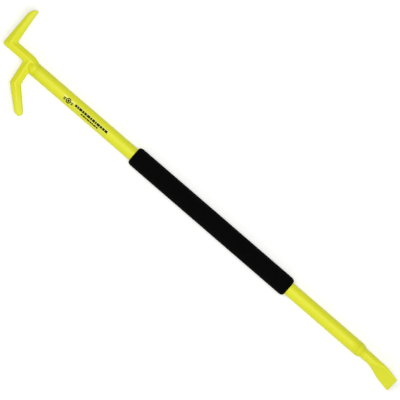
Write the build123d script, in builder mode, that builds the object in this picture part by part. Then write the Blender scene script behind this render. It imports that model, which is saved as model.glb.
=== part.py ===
"""Roof hook with a pry end: a welded hand tool of tube, hexagon bar and round bar, with a foam grip.

Frame: +X runs along the shaft from the head to the pry end, the hooks lie in the XY plane with the blade
on the +Y side, and +Z is up. The tool lies on the ground on its foam grip, and the origin is on the ground
under the middle of the tool. Lengths along the shaft are counted from the striking face, the head's outer
face.
"""

from build123d import *
import os
from math import cos, radians, sin, sqrt, tan

os.makedirs("parts", exist_ok=True)

# ---- driving dimensions (millimetres and degrees) ----
overall_length = 914.4  # 36 inches, striking face to pry edge

tube_diameter = 25.4  # 1 inch tube
tube_wall = 3.05
bar_flats = 19.05  # 3/4 inch hexagon bar, across flats
rod_clearance = 0.125  # all round the round bar in the tube: 3/4 inch bar slides into this tube

head_length = 70.7  # striking face to the tube's end
neck_rise = 7.2  # the neck's centre line above the shaft axis
neck_bevel_length = 11.0  # the neck's top is ground down to meet the tube
neck_bevel_drop = 2.8
hook_corner_radius = 5.0  # outside of the square bend
hook_throat_radius = 3.5  # inside of the square bend

blade_reach = 82.0  # shaft axis to the blade's edge
blade_tip_setback = 12.2  # striking face to the blade's throat side at the edge
blade_tip_thickness = 2.6
blade_tip_width = 27.0
blade_bevel_length = 14.0  # the outer face bends in this far below the edge
blade_bevel_width = 25.0  # the blade's width there, ridge to ridge
blade_face_width = 20.2  # and the outer face's
blade_nose_length = 4.4  # and again, more steeply, this far below it
blade_nose_inset = 4.0
face_grind = 0.25  # taken off the outer face to make it flat

claw_setback = 12.9  # tube's end back to the claw's centre line at the neck
claw_lean = 8.0  # the claw's upper arm leans this much towards the foot
claw_arm_length = 38.8  # along the upper arm, from the neck to the knee
claw_hook_angle = 40.8  # the lower arm's angle to the shaft
claw_reach = 82.0  # shaft axis to the claw's lowest corner
claw_end_setback = 103.6  # striking face to the claw's lowest corner
claw_end_thickness = 10.6  # the blunt end face
claw_end_angle = 60.0  # the end face's angle to the shaft
claw_tip_thickness = 15.5  # where the bevel under the tip starts
claw_tip_width = 18.2
claw_bevel_length = 9.2
claw_bevel_angle = 12.0  # the bevel's angle to the shaft

core_length = 60.0  # head core inside the tube
pry_shank_length = 75.0  # pry bar inside the tube
pry_length = 86.5  # tube's foot to the pry edge
pry_neck_length = 21.1  # tube's foot to the start of the bend
pry_bend_length = 24.0  # the stretch over which the blade bends
pry_bend_angle = 15.6
pry_turn = 45.0  # the blade's width is turned this much about the shaft
pry_width = 35.2
pry_flare_start = 8.5  # start of the bend to where the bar starts to widen
pry_flare_length = 33.5  # from there to full width
pry_root_thickness = 5.6  # where the blade reaches full width
pry_edge_thickness = 2.4
pry_corner_radius = 2.5  # the blade's end corners, seen square to its face
pry_stations = 12

grip_start = 304.0  # striking face to the grip
grip_length = 360.4
grip_diameter = 37.0
grip_roll_length = 7.5  # the rounding of its ends, along the shaft
grip_roll_height = 5.2  # and across it

weld_leg = 3.5  # claw fillet weld
weld_crown = 0.7  # how far a girth weld stands above the tube
weld_root_length = 8.0  # head weld, from the tube's end towards the blade
weld_toe_length = 5.0  # head weld, from the tube's end along the tube
pry_weld_length = 12.5

label_start = 142.0
label_length = 103.0
label_top = 4.0  # the label's upper edge, measured across from the shaft axis
label_bottom = -10.0
label_margin = 1.6  # blank edge round the print
label_thickness = 0.15
ink_thickness = 0.06

# ---- worked-out sizes ----
axis_height = grip_diameter / 2  # the tool lies on its grip
face_x = -overall_length / 2  # striking face
tube_radius = tube_diameter / 2
tube_bore = tube_radius - tube_wall
tube_end_x = overall_length - pry_length  # from the striking face
rod_radius = tube_bore - rod_clearance  # head core and pry bar
rod_diameter = 2 * rod_radius
hex_corner = bar_flats / sqrt(3)  # centre to corner of the hexagon
hex_edge = hex_corner / 2  # half the width of a flat
neck_low = neck_rise - bar_flats / 2
neck_high = neck_rise + bar_flats / 2


def on_axis(distance):
    """Plane across the shaft at a distance from the striking face: local x is +Y and local y is +Z."""
    return Plane(origin=(face_x + distance, 0, axis_height), x_dir=(0, 1, 0), z_dir=(1, 0, 0))


def lengthwise(distance):
    """Plane along the shaft, at a distance from the striking face: local x is +X and local y is +Z."""
    return Plane(origin=(face_x + distance, 0, axis_height), x_dir=(1, 0, 0), z_dir=(0, -1, 0))


def bar_section(outer, inner, corner_half, ridge_half, ridge_share=0.5):
    """Six-sided bar section between two points (x, y) of the hook plane.

    The ridge lies at ridge_share of the way from outer to inner, and stands ridge_half out of the hook
    plane.
    """
    start = Vector(face_x + outer[0], outer[1], axis_height)
    end = Vector(face_x + inner[0], inner[1], axis_height)
    across = end - start
    width = across.length
    ridge = width * ridge_share
    with BuildSketch(Plane(origin=start, x_dir=across, z_dir=across.cross(Vector(0, 0, 1)))) as section:
        with BuildLine():
            Polyline(
                (0, -corner_half),
                (ridge, -ridge_half),
                (width, -corner_half),
                (width, corner_half),
                (ridge, ridge_half),
                (0, corner_half),
                close=True,
            )
        make_face()
    return section.sketch


# ---- tube ----
shaft_length = tube_end_x - head_length
with BuildPart() as shaft_tube:
    with BuildSketch(on_axis(head_length)):
        Circle(tube_radius)
        Circle(tube_bore, mode=Mode.SUBTRACT)
    extrude(amount=shaft_length)
shaft_tube.part.label = "shaft_tube"
export_step(shaft_tube.part, "parts/shaft_tube.step")

# a solid stand-in for the tube, used only to trim the welds
with BuildPart() as tube_envelope:
    with BuildSketch(on_axis(head_length)):
        Circle(tube_radius)
    extrude(amount=shaft_length)

# ---- head core: round bar inside the tube ----
with BuildPart() as head_core:
    with BuildSketch(on_axis(head_length)):
        Circle(rod_radius)
    extrude(amount=core_length)
head_core.part.label = "head_core"
export_step(head_core.part, "parts/head_core.step")

# ---- top hook: neck, square bend and chisel blade ----
# the bend is a fan of sections: the outer points run round one arc and the throat points round another
bend_steps = 4
hook_sections = [
    bar_section(
        (head_length, neck_low),
        (head_length, neck_high - neck_bevel_drop),
        hex_edge,
        hex_corner,
        (bar_flats / 2) / (bar_flats - neck_bevel_drop),
    ),
    bar_section(
        (head_length - neck_bevel_length, neck_low),
        (head_length - neck_bevel_length, neck_high),
        hex_edge,
        hex_corner,
    ),
]
for step in range(bend_steps + 1):
    turn = radians(90 * step / bend_steps)
    outer_point = (
        -face_grind + hook_corner_radius * (1 - sin(turn)),
        neck_low + hook_corner_radius * (1 - cos(turn)),
    )
    throat_point = (
        bar_flats + hook_throat_radius * (1 - sin(turn)),
        neck_high + hook_throat_radius * (1 - cos(turn)),
    )
    hook_sections.append(bar_section(outer_point, throat_point, hex_edge, hex_corner))

blade_bevel_y = blade_reach - blade_bevel_length
blade_nose_y = blade_reach - blade_nose_length
throat_top_y = neck_high + hook_throat_radius


def throat_face(height):
    """Distance from the striking face to the blade's throat side at a height above the shaft axis."""
    share = (height - throat_top_y) / (blade_reach - throat_top_y)
    return bar_flats + (blade_tip_setback - bar_flats) * share


blade_tip_half = blade_tip_width / 2
hook_sections += [
    bar_section(
        (-face_grind, blade_bevel_y),
        (throat_face(blade_bevel_y), blade_bevel_y),
        blade_face_width / 2,
        blade_bevel_width / 2,
        0.39,
    ),
    bar_section(
        (blade_nose_inset, blade_nose_y),
        (throat_face(blade_nose_y), blade_nose_y),
        blade_tip_half - 0.9,
        blade_tip_half,
        0.42,
    ),
    bar_section(
        (blade_tip_setback - blade_tip_thickness, blade_reach),
        (blade_tip_setback, blade_reach),
        blade_tip_half - 0.2,
        blade_tip_half,
    ),
]
with BuildPart() as top_hook:
    loft(sections=hook_sections, ruled=True)
    split(bisect_by=Plane(origin=(face_x, 0, axis_height), z_dir=(1, 0, 0)), keep=Keep.TOP)
top_hook.part.label = "top_hook"
export_step(top_hook.part, "parts/top_hook.step")

# ---- side claw: upper arm, knee and tapered lower arm ----
lean = radians(claw_lean)
hook_slope = radians(claw_hook_angle)
claw_root = (head_length - claw_setback, neck_low)
claw_knee = (claw_root[0] + claw_arm_length * sin(lean), claw_root[1] - claw_arm_length * cos(lean))
knee_half_turn = (radians(90) - lean - hook_slope) / 2
knee_mitre = knee_half_turn + lean
knee_half_width = bar_flats / 2 / cos(knee_half_turn)
root_half_width = bar_flats / 2 / cos(lean)


def across_from(centre, half_width, angle):
    """The two ends of a width, half_width to each side of centre, at an angle to the shaft."""
    step = (half_width * cos(angle), half_width * sin(angle))
    return (centre[0] - step[0], centre[1] - step[1]), (centre[0] + step[0], centre[1] + step[1])


def away_from(corner, distance, angle):
    """The point at a distance from a corner, along a direction at angle to the shaft."""
    return (corner[0] + distance * cos(angle), corner[1] + distance * sin(angle))


claw_low_corner = (claw_end_setback, -claw_reach)
claw_end = (claw_low_corner, away_from(claw_low_corner, claw_end_thickness, radians(claw_end_angle)))
bevel_corner = away_from(claw_low_corner, claw_bevel_length, radians(180 - claw_bevel_angle))
claw_tip = (bevel_corner, away_from(bevel_corner, claw_tip_thickness, radians(90) - hook_slope))
with BuildPart() as side_claw:
    loft(
        sections=[
            bar_section(*across_from(claw_root, root_half_width, 0), hex_edge, hex_corner),
            bar_section(*across_from(claw_knee, knee_half_width, knee_mitre), hex_edge, hex_corner, 0.46),
            bar_section(*claw_tip, claw_tip_width / 2 - 1.2, claw_tip_width / 2, 0.36),
            bar_section(*claw_end, claw_tip_width / 2 - 1.5, claw_tip_width / 2 - 0.5, 0.42),
        ],
        ruled=True,
    )
side_claw.part.label = "side_claw"
export_step(side_claw.part, "parts/side_claw.step")

# ---- pry end: shank, round neck and flattened blade ----
pry_bend_x = tube_end_x + pry_neck_length
# the tilted end face's upper edge, not its middle, is the tool's furthest point
blade_run = pry_length - pry_neck_length - pry_edge_thickness / 2 * sin(radians(pry_bend_angle))
turned = radians(pry_turn)
pry_across = Vector(0, cos(turned), sin(turned))
pry_normal = Vector(0, -sin(turned), cos(turned))


def smooth(share):
    """Ease in and out: 0 at 0, 1 at 1, flat at both ends."""
    share = min(max(share, 0), 1)
    return share * share * (3 - 2 * share)


def pry_section(distance):
    """Rounded-rectangle section of the pry blade, this far beyond the start of the bend."""
    bent = min(distance, pry_bend_length)
    slope_now = radians(pry_bend_angle) * bent / pry_bend_length
    rise = tan(radians(pry_bend_angle)) * (bent * bent / (2 * pry_bend_length) + distance - bent)
    flare = smooth((distance - pry_flare_start) / pry_flare_length)
    width = rod_diameter + (pry_width - rod_diameter) * flare
    into_corner = max(distance - blade_run + pry_corner_radius, 0) / pry_corner_radius
    width -= 2 * pry_corner_radius * (1 - sqrt(max(1 - into_corner**2, 0)))
    thickness = rod_diameter + (pry_root_thickness - rod_diameter) * flare
    full_width_at = pry_flare_start + pry_flare_length
    thickness += (pry_edge_thickness - pry_root_thickness) * max(
        distance - full_width_at, 0
    ) / (blade_run - full_width_at)
    centre = Vector(face_x + pry_bend_x + distance, 0, axis_height) + pry_normal * rise
    along = Vector(cos(slope_now), 0, 0) + pry_normal * sin(slope_now)
    with BuildSketch(Plane(origin=centre, x_dir=pry_across, z_dir=along)) as section:
        RectangleRounded(width, thickness, 0.48 * thickness)
    return section.sketch


corner_steps = [0.5, 0.8, 0.95, 1.0]
blade_stops = [(blade_run - pry_corner_radius) * i / pry_stations for i in range(pry_stations + 1)]
blade_stops += [blade_run - pry_corner_radius * (1 - step) for step in corner_steps]
with BuildPart() as pry_end:
    with BuildSketch(on_axis(tube_end_x - pry_shank_length)):
        Circle(rod_radius)
    extrude(amount=pry_shank_length + pry_neck_length)
    loft(sections=[pry_section(stop) for stop in blade_stops], ruled=True)
pry_end.part.label = "pry_end"
export_step(pry_end.part, "parts/pry_end.step")

# ---- head weld: fills the corner between the head bars and the tube's end ----
with BuildPart() as head_weld:
    with BuildSketch(lengthwise(head_length)):
        with BuildLine():
            Polyline(
                (-weld_root_length, 0),
                (-weld_root_length, tube_radius - 2.4),
                (-weld_root_length / 2, tube_radius - 0.3),
                (0, tube_radius + weld_crown),
                (weld_toe_length / 2, tube_radius + weld_crown / 2),
                (weld_toe_length, tube_radius - 0.2),
                (weld_toe_length, 0),
                close=True,
            )
        make_face()
    revolve(axis=Axis((0, 0, axis_height), (1, 0, 0)))
    add(tube_envelope.part, mode=Mode.SUBTRACT)
    add(top_hook.part, mode=Mode.SUBTRACT)
    add(side_claw.part, mode=Mode.SUBTRACT)
head_weld.part.label = "head_weld"
export_step(head_weld.part, "parts/head_weld.step")

# ---- claw weld: fillet round the claw's root, up the sides of the neck ----
with BuildPart() as claw_weld:
    toe_centre = (claw_root[0] + 1.5 * weld_leg * tan(lean), claw_root[1] - 1.5 * weld_leg)
    crest_centre = (claw_root[0], claw_root[1] - 0.3 * weld_leg)
    top_centre = (claw_root[0], claw_root[1] + 1.2 * weld_leg)
    loft(
        sections=[
            bar_section(*across_from(toe_centre, root_half_width, 0), hex_edge, hex_corner + 0.1),
            bar_section(
                *across_from(crest_centre, root_half_width + 0.9 * weld_leg, 0),
                hex_edge + 0.5 * weld_leg,
                hex_corner + 0.5 * weld_leg,
            ),
            bar_section(
                *across_from(top_centre, root_half_width, 0), hex_edge + 0.6 * weld_leg, hex_corner
            ),
        ],
        ruled=True,
    )
    add(tube_envelope.part, mode=Mode.SUBTRACT)
    add(top_hook.part, mode=Mode.SUBTRACT)
    add(side_claw.part, mode=Mode.SUBTRACT)
    add(head_weld.part, mode=Mode.SUBTRACT)
claw_weld.part.label = "claw_weld"
export_step(claw_weld.part, "parts/claw_weld.step")

# ---- pry weld: runs from the tube's foot down to the round bar ----
with BuildPart() as pry_weld:
    with BuildSketch(lengthwise(tube_end_x)):
        with BuildLine():
            Spline(
                (0, tube_radius),
                (0.35 * pry_weld_length, tube_radius - 0.3 * (tube_radius - rod_radius)),
                (0.7 * pry_weld_length, tube_radius - 0.84 * (tube_radius - rod_radius)),
                (pry_weld_length, rod_radius),
                tangents=[(1, -0.05), (1, -0.02)],
            )
            Line((pry_weld_length, rod_radius), (0, rod_radius))
            Line((0, rod_radius), (0, tube_radius))
        make_face()
    revolve(axis=Axis((0, 0, axis_height), (1, 0, 0)))
pry_weld.part.label = "pry_weld"
export_step(pry_weld.part, "parts/pry_weld.step")

# ---- foam grip ----
roll_height = min(grip_roll_height, 0.9 * (grip_diameter - tube_diameter) / 2)
with BuildPart() as foam_grip:
    with BuildSketch(Plane(origin=(face_x + grip_start, 0, axis_height))):
        with BuildLine():
            shoulder = grip_diameter / 2 - roll_height
            far_roll = grip_length - grip_roll_length
            Line((0, tube_radius), (0, shoulder))
            EllipticalCenterArc((grip_roll_length, shoulder), grip_roll_length, roll_height, 90, arc_size=90)
            Line((grip_roll_length, grip_diameter / 2), (far_roll, grip_diameter / 2))
            EllipticalCenterArc((far_roll, shoulder), grip_roll_length, roll_height, 0, arc_size=90)
            Line((grip_length, shoulder), (grip_length, tube_radius))
            Line((grip_length, tube_radius), (0, tube_radius))
        make_face()
    revolve(axis=Axis((0, 0, axis_height), (1, 0, 0)))
foam_grip.part.label = "foam_grip"
export_step(foam_grip.part, "parts/foam_grip.step")


# ---- label: clear film wrapped on the tube, and the print on it ----
def label_skin(inner_radius, thickness):
    """Thin sleeve over the label's length, from which the label's layers are cut."""
    with BuildPart() as skin:
        with BuildSketch(on_axis(label_start)):
            Circle(inner_radius + thickness)
            Circle(inner_radius, mode=Mode.SUBTRACT)
        extrude(amount=label_length)
    return skin.part


label_plane = Plane(origin=(face_x + label_start, 0, axis_height), x_dir=(1, 0, 0), z_dir=(0, 0, 1))
label_height = label_top - label_bottom
with BuildPart() as label_film:
    with BuildSketch(label_plane):
        with Locations((label_length / 2, (label_top + label_bottom) / 2)):
            RectangleRounded(label_length, label_height, 2.5)
    extrude(amount=2 * tube_radius)
    add(label_skin(tube_radius, label_thickness), mode=Mode.INTERSECT)
label_film.part.label = "label_film"
export_step(label_film.part, "parts/label_film.step")

# a plain hexagon badge with two stripes on each side, then two rows of blank bars: each row is a list
# of relative bar lengths
badge_radius = label_height / 2 - label_margin
badge_ring = 2.0
badge_x = badge_radius + label_margin + 6.0
badge_y = (label_top + label_bottom) / 2
stripe_length = 4.4
stripe_height = 1.7
stripe_x = badge_radius + stripe_length / 2 + 0.6
rows_start = 2 * badge_radius + 2 * label_margin + 13.0
upper_row = [4.2, 3.0, 5.6, 3.4, 4.6, 6.2, 3.2, 5.0, 2.8, 6.0, 3.8, 4.4, 5.2]
lower_row = [3.0, 4.4, 2.4, 5.0, 3.4, 2.8, 4.8, 3.2]
bar_gap = 0.9
with BuildPart() as label_print:
    with BuildSketch(label_plane):
        with Locations((badge_x, badge_y)):
            RegularPolygon(badge_radius, 6)
            RegularPolygon(badge_radius - badge_ring, 6, mode=Mode.SUBTRACT)
            Circle(badge_radius / 2.6)
        for side in (-1, 1):
            for stripe_y in (-1.9, 0.6):
                with Locations((badge_x + side * stripe_x, badge_y + stripe_y)):
                    Rectangle(stripe_length, stripe_height)
        for row, inset, row_y, row_height in (
            (upper_row, 0.0, label_top - 5.2, 4.4),
            (lower_row, 18.0, label_top - 10.7, 2.5),
        ):
            reach = rows_start + inset
            room = label_length - label_margin - inset - reach
            scale = (room - bar_gap * (len(row) - 1)) / sum(row)
            for relative_length in row:
                bar_length = relative_length * scale
                with Locations((reach + bar_length / 2, row_y)):
                    Rectangle(bar_length, row_height)
                reach += bar_length + bar_gap
    extrude(amount=2 * tube_radius)
    add(label_skin(tube_radius + label_thickness, ink_thickness), mode=Mode.INTERSECT)
label_print.part.label = "label_print"
export_step(label_print.part, "parts/label_print.step")
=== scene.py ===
"""Looks of a welded roof hook: forged hexagon-bar hooks, coated tube, foam grip and a flattened pry blade.

Everything is in metres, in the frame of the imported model. +X runs along the shaft from the head to the pry
end, the hooks lie in the XY plane, and the tool lies on the floor on its foam grip.
"""

import logging
import math
from collections.abc import Callable
from dataclasses import dataclass, replace
from enum import Enum

import bmesh
import bpy
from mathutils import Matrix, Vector, noise


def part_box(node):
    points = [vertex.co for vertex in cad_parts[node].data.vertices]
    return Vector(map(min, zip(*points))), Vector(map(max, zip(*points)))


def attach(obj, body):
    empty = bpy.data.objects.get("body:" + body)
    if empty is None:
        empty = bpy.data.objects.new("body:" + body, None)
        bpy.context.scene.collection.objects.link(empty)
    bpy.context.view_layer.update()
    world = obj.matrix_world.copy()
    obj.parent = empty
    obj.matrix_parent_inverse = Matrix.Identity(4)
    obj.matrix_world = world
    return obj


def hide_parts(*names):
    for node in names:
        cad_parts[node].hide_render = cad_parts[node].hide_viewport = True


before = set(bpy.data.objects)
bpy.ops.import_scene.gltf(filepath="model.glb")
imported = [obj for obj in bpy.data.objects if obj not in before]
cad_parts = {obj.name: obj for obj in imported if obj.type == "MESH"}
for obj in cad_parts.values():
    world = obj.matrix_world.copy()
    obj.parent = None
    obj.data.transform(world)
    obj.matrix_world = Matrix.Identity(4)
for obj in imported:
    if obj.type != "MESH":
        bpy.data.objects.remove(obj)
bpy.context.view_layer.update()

LOG = logging.getLogger("roof_hook")

Point = tuple[float, float]
Colour = tuple[float, float, float]
Ring = list[Vector]
Piece = bpy.types.Object
Socket = bpy.types.NodeSocket


class Slot(Enum):
    """The record's material slots."""

    POWDER_COAT = "powder_coat"
    BARE_STEEL = "bare_steel"
    FOAM = "foam"
    LABEL_VINYL = "label_vinyl"
    LABEL_INK = "label_ink"


# ---------------------------------------------------------------- shader building


@dataclass(frozen=True)
class Relief:
    """One bump layer: its height, how strongly it shows, and its depth in metres."""

    height: Socket
    strength: float
    depth: float


class ShaderGraph:
    """A node material under construction, with short calls for the textures that the finishes share."""

    NOISE_LOW = 0.3
    NOISE_HIGH = 0.7

    def __init__(self, name: str) -> None:
        """Start an empty material with one principled shader.

        Args:
            name: the material's name.
        """
        self.material = bpy.data.materials.new(name)
        self.material.use_nodes = True
        self.tree = self.material.node_tree
        self.tree.nodes.clear()
        output = self.tree.nodes.new("ShaderNodeOutputMaterial")
        self.shader = self.tree.nodes.new("ShaderNodeBsdfPrincipled")
        self.tree.links.new(self.shader.outputs["BSDF"], output.inputs["Surface"])
        self.place = self.tree.nodes.new("ShaderNodeTexCoord").outputs["Object"]

    def set(self, **values: object) -> None:
        """Set constant values on the shader's own sockets.

        Args:
            values: socket names with underscores for spaces, and their values.
        """
        for name, value in values.items():
            self.shader.inputs[name.replace("_", " ")].default_value = value

    def stretched(self, factors: tuple[float, float, float]) -> Socket:
        """Scale the object coordinates by a factor along each axis.

        Args:
            factors: the three scale factors.

        Returns:
            The scaled coordinates' output.
        """
        mapping = self.tree.nodes.new("ShaderNodeMapping")
        mapping.inputs["Scale"].default_value = factors
        self.tree.links.new(self.place, mapping.inputs["Vector"])
        return mapping.outputs["Vector"]

    def noise(
        self,
        per_metre: float,
        detail: float = 2.0,
        roughness: float = 0.5,
        place: Socket | None = None,
    ) -> Socket:
        """Add a noise texture.

        Args:
            per_metre: its scale, in features per metre.
            detail: octaves.
            roughness: strength of the finer octaves.
            place: the coordinates, or None for the object's own.

        Returns:
            The texture's height output.
        """
        node = self.tree.nodes.new("ShaderNodeTexNoise")
        node.inputs["Scale"].default_value = per_metre
        node.inputs["Detail"].default_value = detail
        node.inputs["Roughness"].default_value = roughness
        self.tree.links.new(place or self.place, node.inputs["Vector"])
        return node.outputs[0]

    def cells(self, per_metre: float) -> Socket:
        """Add a texture of scattered cells.

        Args:
            per_metre: cells per metre.

        Returns:
            The output with the distance from each cell's middle.
        """
        node = self.tree.nodes.new("ShaderNodeTexVoronoi")
        node.inputs["Scale"].default_value = per_metre
        self.tree.links.new(self.place, node.inputs["Vector"])
        return node.outputs["Distance"]

    def remap(self, source: Socket, low: float, high: float) -> Socket:
        """Spread the middle of a noise texture's range from low to high, and clamp it there.

        Args:
            source: the texture's output.
            low: the lowest result.
            high: the highest result.

        Returns:
            The mapped value's output.
        """
        node = self.tree.nodes.new("ShaderNodeMapRange")
        node.inputs["From Min"].default_value = self.NOISE_LOW
        node.inputs["From Max"].default_value = self.NOISE_HIGH
        node.inputs["To Min"].default_value = low
        node.inputs["To Max"].default_value = high
        self.tree.links.new(source, node.inputs["Value"])
        return node.outputs["Result"]

    def colours(self, source: Socket, stops: list[tuple[float, Colour]]) -> Socket:
        """Turn a value into a colour through a ramp.

        Args:
            source: the value.
            stops: positions from 0 to 1 with their linear colours.

        Returns:
            The ramp's colour output.
        """
        node = self.tree.nodes.new("ShaderNodeValToRGB")
        ramp = node.color_ramp
        while len(ramp.elements) < len(stops):
            ramp.elements.new(0.5)
        for element, (position, colour) in zip(ramp.elements, stops):
            element.position = position
            element.color = (*colour, 1.0)
        self.tree.links.new(source, node.inputs["Fac"])
        return node.outputs["Color"]

    def feed(self, name: str, source: Socket) -> None:
        """Link a texture to one of the shader's inputs.

        Args:
            name: the shader's input.
            source: the output that feeds it.
        """
        self.tree.links.new(source, self.shader.inputs[name])

    def bump(self, *layers: Relief) -> None:
        """Stack bump layers under the shader's normal.

        Args:
            layers: the layers, coarsest first.
        """
        previous = None
        for layer in layers:
            node = self.tree.nodes.new("ShaderNodeBump")
            node.inputs["Strength"].default_value = layer.strength
            node.inputs["Distance"].default_value = layer.depth
            self.tree.links.new(layer.height, node.inputs["Height"])
            if previous is not None:
                self.tree.links.new(previous, node.inputs["Normal"])
            previous = node.outputs["Normal"]
        self.feed("Normal", previous)


# ---------------------------------------------------------------- finishes


@dataclass(frozen=True)
class PowderCoat:
    """Fluorescent lime powder coat, baked on: even colour, semi-gloss, with a fine orange peel."""

    lime: Colour = (0.707, 0.704, 0.014)
    thin_lime: Colour = (0.66, 0.688, 0.012)
    peel_per_metre: float = 620.0
    peel_depth: float = 0.00016
    flow_per_metre: float = 70.0
    flow_depth: float = 0.0004
    gloss_low: float = 0.46
    gloss_high: float = 0.58

    def material(self) -> bpy.types.Material:
        """Mix the coat.

        Returns:
            The material.
        """
        graph = ShaderGraph("powder_coat_lime")
        graph.set(Metallic=0.0, Coat_Weight=0.08, Coat_Roughness=0.32, Specular_IOR_Level=0.36)
        shade = graph.noise(per_metre=9.0, detail=3.0)
        graph.feed("Base Color", graph.colours(shade, [(0.35, self.thin_lime), (0.65, self.lime)]))
        peel = graph.noise(self.peel_per_metre, detail=2.0, roughness=0.45)
        graph.feed("Roughness", graph.remap(graph.noise(per_metre=160.0), self.gloss_low, self.gloss_high))
        flow = graph.noise(self.flow_per_metre, detail=1.0)
        graph.bump(
            Relief(flow, strength=0.25, depth=self.flow_depth),
            Relief(peel, strength=0.35, depth=self.peel_depth),
        )
        return graph.material


@dataclass(frozen=True)
class ClosedCellFoam:
    """Black closed-cell foam with a dull moulded skin, fine open pores and a faint lengthwise grain."""

    black: Colour = (0.0010, 0.0010, 0.0011)
    dusty: Colour = (0.0022, 0.0022, 0.0023)
    pores_per_metre: float = 950.0
    pore_depth: float = 0.0004
    grain_per_metre: float = 260.0

    def material(self) -> bpy.types.Material:
        """Mix the foam's skin.

        Returns:
            The material.
        """
        graph = ShaderGraph("foam_black")
        graph.set(Metallic=0.0, Specular_IOR_Level=0.04)
        pores = graph.cells(self.pores_per_metre)
        skin = graph.noise(self.grain_per_metre, detail=5.0, roughness=0.65)
        graph.feed("Base Color", graph.colours(skin, [(0.38, self.black), (0.72, self.dusty)]))
        graph.feed("Roughness", graph.remap(skin, 0.82, 0.97))
        drawn = graph.noise(per_metre=150.0, detail=2.0, place=graph.stretched((0.12, 1.0, 1.0)))
        graph.bump(
            Relief(drawn, strength=0.3, depth=0.0005),
            Relief(skin, strength=0.4, depth=0.0005),
            Relief(pores, strength=0.45, depth=self.pore_depth),
        )
        return graph.material


@dataclass(frozen=True)
class BareSteel:
    """Uncoated round bar with lengthwise drawing marks."""

    grey: Colour = (0.42, 0.42, 0.43)
    dark: Colour = (0.30, 0.29, 0.28)

    def material(self) -> bpy.types.Material:
        """Mix the bare bar's surface.

        Returns:
            The material.
        """
        graph = ShaderGraph("bar_mill_finish")
        graph.set(Metallic=1.0)
        drawn = graph.noise(per_metre=1400.0, detail=3.0, place=graph.stretched((0.04, 1.0, 1.0)))
        graph.feed("Base Color", graph.colours(drawn, [(0.3, self.dark), (0.7, self.grey)]))
        graph.feed("Roughness", graph.remap(drawn, 0.32, 0.5))
        graph.bump(Relief(drawn, strength=0.3, depth=0.0001))
        return graph.material


@dataclass(frozen=True)
class LabelVinyl:
    """Clear gloss film, in the colour of the coat that shows through it, and a little smoother."""

    lime: Colour = (0.665, 0.675, 0.018)
    shade: Colour = (0.64, 0.66, 0.014)

    def material(self) -> bpy.types.Material:
        """Mix the film.

        Returns:
            The material.
        """
        graph = ShaderGraph("label_clear_film")
        graph.set(Metallic=0.0, Coat_Weight=0.2, Coat_Roughness=0.2)
        cloud = graph.noise(per_metre=40.0, detail=2.0)
        graph.feed("Base Color", graph.colours(cloud, [(0.35, self.shade), (0.65, self.lime)]))
        graph.feed("Roughness", graph.remap(cloud, 0.34, 0.42))
        wave = graph.noise(per_metre=180.0, detail=1.0)
        graph.bump(Relief(wave, strength=0.12, depth=0.0002))
        return graph.material


@dataclass(frozen=True)
class LabelInk:
    """Black screen-printed ink, slightly uneven where the film's surface broke it up."""

    solid: Colour = (0.0045, 0.0045, 0.002)
    worn: Colour = (0.022, 0.022, 0.004)

    def material(self) -> bpy.types.Material:
        """Mix the ink.

        Returns:
            The material.
        """
        graph = ShaderGraph("label_black_ink")
        graph.set(Metallic=0.0, Specular_IOR_Level=0.12)
        speckle = graph.noise(per_metre=1500.0, detail=3.0)
        graph.feed("Base Color", graph.colours(speckle, [(0.55, self.solid), (0.8, self.worn)]))
        graph.feed("Roughness", graph.remap(speckle, 0.4, 0.6))
        graph.bump(Relief(speckle, strength=0.15, depth=0.00005))
        return graph.material


class FinishRack:
    """Every finish of the tool, made once and handed out by slot."""

    def __init__(self) -> None:
        """Make all the materials."""
        self.by_slot = {
            Slot.POWDER_COAT: PowderCoat().material(),
            Slot.BARE_STEEL: BareSteel().material(),
            Slot.FOAM: ClosedCellFoam().material(),
            Slot.LABEL_VINYL: LabelVinyl().material(),
            Slot.LABEL_INK: LabelInk().material(),
        }

    def dress(self, piece: Piece, slot: Slot) -> None:
        """Give a piece its finish.

        Args:
            piece: the object to dress.
            slot: the finish it takes.
        """
        piece.data.materials.clear()
        piece.data.materials.append(self.by_slot[slot])


# ---------------------------------------------------------------- mesh building


def ring_mesh(name: str, rings: list[Ring], closed_length: bool = False) -> Piece:
    """Skin a list of rings with quads.

    Args:
        name: the new object's name.
        rings: rings of the same number of points, in order.
        closed_length: join the last ring to the first, instead of capping both ends.

    Returns:
        The new object, linked to the scene and shaded smooth.
    """
    around = len(rings[0])
    count = len(rings)
    faces = []
    for i in range(count if closed_length else count - 1):
        here = i * around
        there = (i + 1) % count * around
        for k in range(around):
            after = (k + 1) % around
            faces.append((here + k, here + after, there + after, there + k))
    if not closed_length:
        faces.append(tuple(range(around - 1, -1, -1)))
        faces.append(tuple((count - 1) * around + k for k in range(around)))
    mesh = bpy.data.meshes.new(name)
    mesh.from_pydata([tuple(p) for ring in rings for p in ring], [], faces)
    mesh.update()
    mesh.polygons.foreach_set("use_smooth", [True] * len(mesh.polygons))
    if not closed_length:
        for face in mesh.polygons[-2:]:
            face.use_smooth = False
    piece = bpy.data.objects.new(name, mesh)
    bpy.context.scene.collection.objects.link(piece)
    return piece


def merge_points(piece: Piece, within: float) -> None:
    """Join points that lie on each other, so that no face is left without area.

    Args:
        piece: the object to clean.
        within: the largest gap that is closed.
    """
    mesh = bmesh.new()
    mesh.from_mesh(piece.data)
    bmesh.ops.remove_doubles(mesh, verts=mesh.verts, dist=within)
    mesh.to_mesh(piece.data)
    mesh.free()


def seat(piece: Piece, node: str) -> None:
    """Fix a piece to the tool's one body, in place of a CAD node.

    Args:
        piece: the finished piece.
        node: the CAD node that it stands for.
    """
    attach(piece, "root")
    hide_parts(node)
    LOG.info("%s: %d points, stands for %s", piece.name, len(piece.data.vertices), node)


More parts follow.
